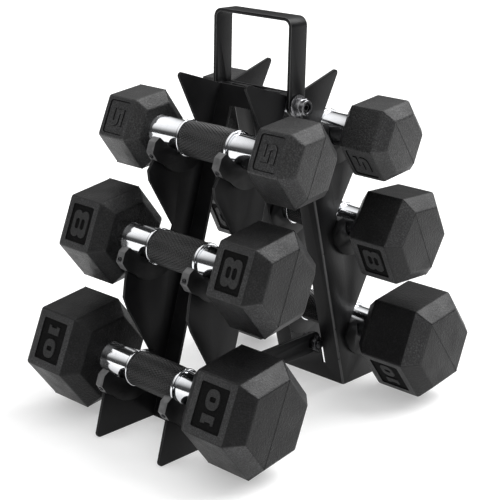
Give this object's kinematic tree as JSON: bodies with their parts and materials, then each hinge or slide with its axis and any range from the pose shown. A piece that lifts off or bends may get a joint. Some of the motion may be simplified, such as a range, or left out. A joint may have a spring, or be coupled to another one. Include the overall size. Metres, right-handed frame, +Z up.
{
  "type": "dumbbell rack",
  "caption": "Small three-tier A-frame rack of folded black sheet steel with a swinging carry handle, plastic cradles and rubber hex dumbbells that lift off",
  "frame": {"origin": "on the floor at the middle of the rack", "axes": "+Z up, X along the dumbbell handles and the handle's axle, Y across the frame from the near row (-Y) to the far row (+Y)"},
  "size_m": [0.2632, 0.3258, 0.3535],
  "materials": {
    "powder_coat": "satin black powder coat",
    "axle_steel": "plain steel tube",
    "zinc": "bright zinc plating",
    "pad_plastic": "moulded matt black plastic",
    "chrome": "polished chrome",
    "grip_black": "black textured grip with a diamond knurl",
    "iron": "as cast, hidden inside the rubber",
    "head_rubber": "matt black moulded rubber"
  },
  "bodies": {
    "frame": {"near_panel": "powder_coat", "far_panel": "powder_coat", "axle_tube": "axle_steel", "spreader_bar": "powder_coat", "spreader_screws": "zinc", "spreader_nuts": "zinc", "handle_screws": "zinc", "handle_washers": "zinc", "cradle_screws": "zinc", "cradle_near_low_left": "pad_plastic", "cradle_near_low_right": "pad_plastic", "cradle_near_middle_left": "pad_plastic", "cradle_near_middle_right": "pad_plastic", "cradle_near_top_left": "pad_plastic", "cradle_near_top_right": "pad_plastic", "cradle_far_low_left": "pad_plastic", "cradle_far_low_right": "pad_plastic", "cradle_far_middle_left": "pad_plastic", "cradle_far_middle_right": "pad_plastic", "cradle_far_top_left": "pad_plastic", "cradle_far_top_right": "pad_plastic"},
    "handle": {"carry_handle": "powder_coat"},
    "dumbbell_5lb_near": {"db_5lb_near_bar": "chrome", "db_5lb_near_grip": "grip_black", "db_5lb_near_cores": "iron", "db_5lb_near_head_left": "head_rubber", "db_5lb_near_head_right": "head_rubber"},
    "dumbbell_8lb_near": {"db_8lb_near_bar": "chrome", "db_8lb_near_grip": "grip_black", "db_8lb_near_cores": "iron", "db_8lb_near_head_left": "head_rubber", "db_8lb_near_head_right": "head_rubber"},
    "dumbbell_10lb_near": {"db_10lb_near_bar": "chrome", "db_10lb_near_grip": "grip_black", "db_10lb_near_cores": "iron", "db_10lb_near_head_left": "head_rubber", "db_10lb_near_head_right": "head_rubber"},
    "dumbbell_5lb_far": {"db_5lb_far_bar": "chrome", "db_5lb_far_grip": "grip_black", "db_5lb_far_cores": "iron", "db_5lb_far_head_left": "head_rubber", "db_5lb_far_head_right": "head_rubber"},
    "dumbbell_8lb_far": {"db_8lb_far_bar": "chrome", "db_8lb_far_grip": "grip_black", "db_8lb_far_cores": "iron", "db_8lb_far_head_left": "head_rubber", "db_8lb_far_head_right": "head_rubber"},
    "dumbbell_10lb_far": {"db_10lb_far_bar": "chrome", "db_10lb_far_grip": "grip_black", "db_10lb_far_cores": "iron", "db_10lb_far_head_left": "head_rubber", "db_10lb_far_head_right": "head_rubber"}
  },
  "joints": [
    {"name": "carry_handle_swing", "type": "hinge", "parent": "frame", "child": "handle", "pos_m": [0, 0, 0.28], "axis": [1, 0, 0], "range_deg": [-60, 60]},
    {"name": "lift_5lb_near", "type": "slide", "parent": "frame", "child": "dumbbell_5lb_near", "axis": [0, -0.7431, 0.6691], "range_m": [0, 0.15]},
    {"name": "lift_8lb_near", "type": "slide", "parent": "frame", "child": "dumbbell_8lb_near", "axis": [0, -0.7431, 0.6691], "range_m": [0, 0.15]},
    {"name": "lift_10lb_near", "type": "slide", "parent": "frame", "child": "dumbbell_10lb_near", "axis": [0, -0.7431, 0.6691], "range_m": [0, 0.15]},
    {"name": "lift_5lb_far", "type": "slide", "parent": "frame", "child": "dumbbell_5lb_far", "axis": [0, 0.7431, 0.6691], "range_m": [0, 0.15]},
    {"name": "lift_8lb_far", "type": "slide", "parent": "frame", "child": "dumbbell_8lb_far", "axis": [0, 0.7431, 0.6691], "range_m": [0, 0.15]},
    {"name": "lift_10lb_far", "type": "slide", "parent": "frame", "child": "dumbbell_10lb_far", "axis": [0, 0.7431, 0.6691], "range_m": [0, 0.15]}
  ]
}
